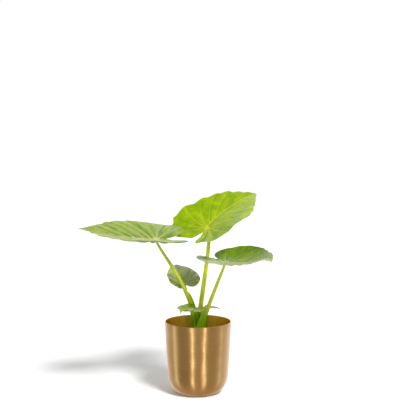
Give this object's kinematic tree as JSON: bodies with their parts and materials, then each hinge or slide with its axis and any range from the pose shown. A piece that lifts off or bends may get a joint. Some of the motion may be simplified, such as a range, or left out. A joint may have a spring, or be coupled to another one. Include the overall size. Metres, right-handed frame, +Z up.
{
  "type": "alocasia in a decorative pot",
  "caption": "Potted alocasia with arrow-shaped leaves on upright stalks, in a round-bottomed brushed brass pot with a grower's pot inside.",
  "frame": {"origin": "centre of the outer pot's flat base, on the surface that it stands on", "axes": "+Z up, +X to the right and +Y to the back as the plant is seen from the front"},
  "size_m": [0.5502, 0.377, 0.6051],
  "materials": {
    "brushed_brass": "satin",
    "grower_plastic": "matte",
    "potting_mix": "matte",
    "corm": "matte",
    "stalk": "satin",
    "new_leaf": "satin",
    "leaf": "satin"
  },
  "bodies": {
    "root": {"decorative_pot": "brushed_brass", "grower_pot": "grower_plastic", "potting_mix": "potting_mix", "corm_and_roots": "corm", "crown_petiole": "stalk", "crown_blade": "new_leaf", "left_petiole": "stalk", "left_blade": "leaf", "right_petiole": "stalk", "right_blade": "leaf", "rear_petiole": "stalk", "rear_blade": "leaf", "low_left_petiole": "stalk", "low_left_blade": "leaf", "low_right_petiole": "stalk", "low_right_blade": "leaf"}
  },
  "joints": []
}
